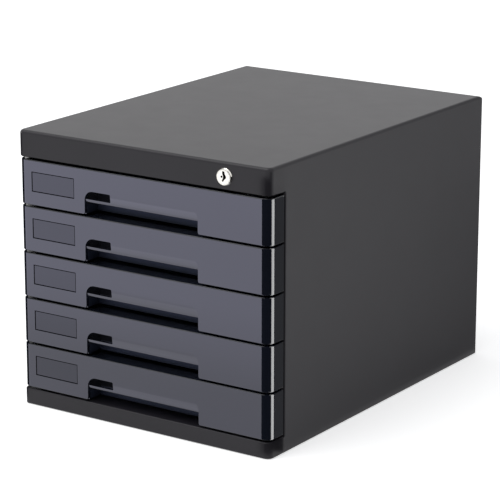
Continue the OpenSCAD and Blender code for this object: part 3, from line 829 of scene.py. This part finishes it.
def reflector(name, points, faces, level, lit=None, clear=False, colour=(1, 1, 1)):
    """Card that only reflections see: bright, or black where the level is 0. If lit is given, it
    shows in those objects alone, and a clear card adds its light to what is behind it."""
    obj = mesh_object(name, points, faces)
    mat = bpy.data.materials.new(name)
    mat.use_nodes = True
    tree = mat.node_tree
    tree.nodes.clear()
    glow = tree.nodes.new("ShaderNodeEmission")
    glow.inputs["Color"].default_value = (*colour, 1)
    glow.inputs["Strength"].default_value = level
    shader = glow.outputs[0]
    if clear:
        add = tree.nodes.new("ShaderNodeAddShader")
        through = tree.nodes.new("ShaderNodeBsdfTransparent")
        tree.links.new(shader, add.inputs[0])
        tree.links.new(through.outputs[0], add.inputs[1])
        shader = add.outputs[0]
    out = tree.nodes.new("ShaderNodeOutputMaterial")
    tree.links.new(shader, out.inputs["Surface"])
    obj.data.materials.append(mat)
    obj.visible_camera = False
    obj.visible_diffuse = False
    obj.visible_shadow = False
    obj.visible_transmission = False
    if lit:
        obj.light_linking.receiver_collection = lit
    return tree


def node_of(tree, kind):
    return next(node for node in tree.nodes if node.type == kind)


def collection_of(name, members):
    made = bpy.data.collections.new(name)
    for member in members:
        made.objects.link(nodes[member])
    return made


def floor_glow(tree, levels):
    """The card's level at each distance in front of the fronts, as (distance, level) steps."""
    place = tree.nodes.new("ShaderNodeTexCoord").outputs["Object"]
    split = tree.nodes.new("ShaderNodeSeparateXYZ")
    tree.links.new(place, split.inputs[0])
    source = None
    for (d0, low), (d1, high) in zip(levels, levels[1:]):
        span = tree.nodes.new("ShaderNodeMapRange")
        span.inputs["From Min"].default_value = FRONT_Y - d0
        span.inputs["From Max"].default_value = FRONT_Y - d1
        span.inputs["To Min"].default_value = 0.0 if source else low
        span.inputs["To Max"].default_value = high - low if source else high
        tree.links.new(split.outputs["Y"], span.inputs["Value"])
        step = span.outputs["Result"]
        if source:
            add = tree.nodes.new("ShaderNodeMath")
            tree.links.new(source, add.inputs[0])
            tree.links.new(step, add.inputs[1])
            step = add.outputs[0]
        source = step
    tree.links.new(source, node_of(tree, "EMISSION").inputs["Strength"])


def arc_card(name, side, start, end, level, lit, top):
    """Upright card bent round a front corner, from the start to the end angle."""
    centre = Vector((side * (HALF_W - CORNER_R), FRONT_Y + CORNER_R, 0))
    steps = max(2, round((end - start) / ARC_STEP_DEG))
    points = []
    for i in range(steps + 1):
        turn = math.radians(start + (end - start) * i / steps)
        foot = centre + Vector((side * math.sin(turn), -math.cos(turn), 0)) * ARC_R
        points.append((foot.x, foot.y, ARC_FOOT))
        points.append((foot.x, foot.y, top))
    faces = [(2 * i, 2 * i + 1, 2 * i + 3, 2 * i + 2) for i in range(steps)]
    reflector(name, points, faces, level, lit)


def gloss_cards():
    """What the glossy fronts mirror: a bright floor in front, and a strip beside the right corner
    between two black flags. Another flag darkens the left corner, and one the side of the lock."""
    fronts = collection_of("glossy_fronts", [f"drawer_{i}_front" for i in DRAWERS])
    points = level_quad(-CARD_HALF, CARD_HALF, FRONT_Y - CARD_FAR, FRONT_Y - CARD_NEAR, CARD_Z)
    tree = reflector("front_card", points, QUAD, 1.0, fronts, clear=True, colour=CARD_TINT)
    floor_glow(tree, CARD_LEVELS)
    for name, (side, start, end, level, fronts_alone, top) in ARC_CARDS.items():
        arc_card(name, side, start, end, level, fronts if fronts_alone else None, top)
    y0, y1 = LOCK_FLAG_Y
    z0, z1 = LOCK_FLAG_Z
    points = [(LOCK_FLAG_X, y0, z0), (LOCK_FLAG_X, y1, z0), (LOCK_FLAG_X, y1, z1), (LOCK_FLAG_X, y0, z1)]
    reflector("lock_flag", points, QUAD, 0.0)


def grey_film(name, points, slope, base):
    """Tinted film that only reflections see: it lets through base + slope . place, from 0 to 1."""
    tree = reflector(name, points, QUAD, 0.0, clear=True)
    place = tree.nodes.new("ShaderNodeTexCoord").outputs["Object"]
    dot = tree.nodes.new("ShaderNodeVectorMath")
    dot.operation = "DOT_PRODUCT"
    dot.inputs[1].default_value = slope
    tree.links.new(place, dot.inputs[0])
    add = tree.nodes.new("ShaderNodeMath")
    add.use_clamp = True
    add.inputs[1].default_value = base
    tree.links.new(dot.outputs["Value"], add.inputs[0])
    tree.links.new(add.outputs[0], node_of(tree, "BSDF_TRANSPARENT").inputs["Color"])


def side_films():
    """Films beside and behind the right wall, which darken its mirrored studio to the back, and a
    card on the floor farther out, which brightens the wall's upper front."""
    x0, x1 = FILM_X
    y0, y1 = FILM_Y
    grey_film("floor_film", level_quad(x0, x1, y0, y1, FILM_Z), *FLOOR_FILM)
    upright = [(x0, y1, 0), (BACK_FILM_X, y1, 0), (BACK_FILM_X, y1, BACK_FILM_TOP), (x0, y1, BACK_FILM_TOP)]
    grey_film("wall_film", upright, *BACK_FILM)
    wall = collection_of("right_wall", ["right_side_panel"])
    points = level_quad(*SIDE_CARD_X, *SIDE_CARD_Y, SIDE_CARD_Z)
    reflector("side_card", points, QUAD, SIDE_CARD_LEVEL, wall, clear=True)


# ---------------------------------------------------------------- the scene

bpy.context.scene.view_settings.view_transform = "Standard"
make_camera()
studio_world()
floor()
dress(finishes())
make_lock()
make_screws("case_screws", "case")
make_screws("cam_screw", "lock_core")
for i in DRAWERS:
    make_screws(f"drawer_{i}_screws", f"drawer_{i}")
gloss_cards()
side_films()
softbox("key", KEY_AT, KEY_TOWARDS, KEY_SIZE, KEY_LEVEL)
